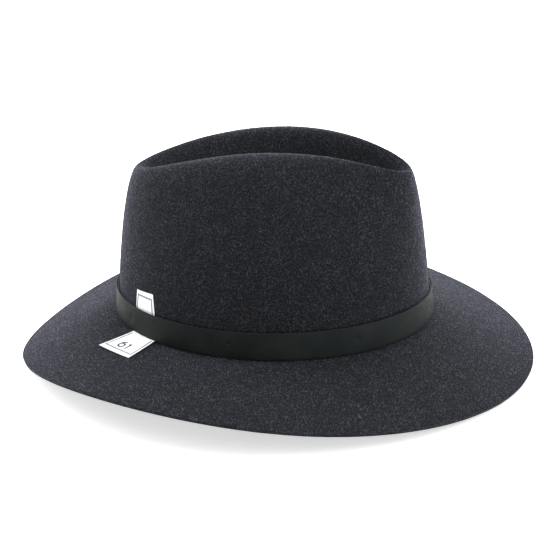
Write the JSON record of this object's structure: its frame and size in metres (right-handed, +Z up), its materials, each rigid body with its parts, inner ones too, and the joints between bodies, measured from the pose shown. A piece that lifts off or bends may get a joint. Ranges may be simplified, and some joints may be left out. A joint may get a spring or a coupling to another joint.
{
  "type": "fedora hat",
  "caption": "Charcoal wool felt fedora with a teardrop crease, a brim that droops front and back, a plain leather band and a size ticket folded over the brim.",
  "frame": {"origin": "on the table, under the middle of the head oval; the brim rests on z = 0 at its front and back", "axes": "+X to the front of the hat, +Y to the wearer's left, +Z up"},
  "size_m": [0.3668, 0.3326, 0.1537],
  "materials": {
    "felt": "charcoal wool felt, soft melange, short nap",
    "band_leather": "smooth matte green-black leather, cut edges",
    "thread": "waxed black thread",
    "card": "uncoated white card",
    "sweat_leather": "thin black sweatband leather",
    "cloth_tape": "black woven cotton tape",
    "reed_plastic": "flexible plastic reed",
    "satin": "dark grey satin",
    "ribbon": "black grosgrain ribbon",
    "label_satin": "blank woven satin label"
  },
  "bodies": {
    "hat": {"felt_body": "felt", "hat_band": "band_leather", "band_join_stitches": "thread", "band_tack_stitches": "thread", "size_ticket_tab": "card", "sweatband": "sweat_leather", "sweatband_seam_tape": "cloth_tape", "sweatband_seam_thread": "thread", "sweatband_bow": "ribbon", "sweatband_reed": "reed_plastic", "reed_tape": "cloth_tape", "sweatband_stitches": "thread", "lining_side": "satin", "lining_tip": "satin", "lining_piping": "satin", "lining_tacks": "thread", "care_label": "label_satin"},
    "ticket_flap": {"size_ticket_flap": "card"}
  },
  "joints": [
    {"name": "ticket_crease", "type": "hinge", "parent": "hat", "child": "ticket_flap", "pos_m": [-0.07157, -0.07322, 0.03183], "axis": [-0.8717, 0.49, 0], "range_deg": [0, 95]}
  ]
}
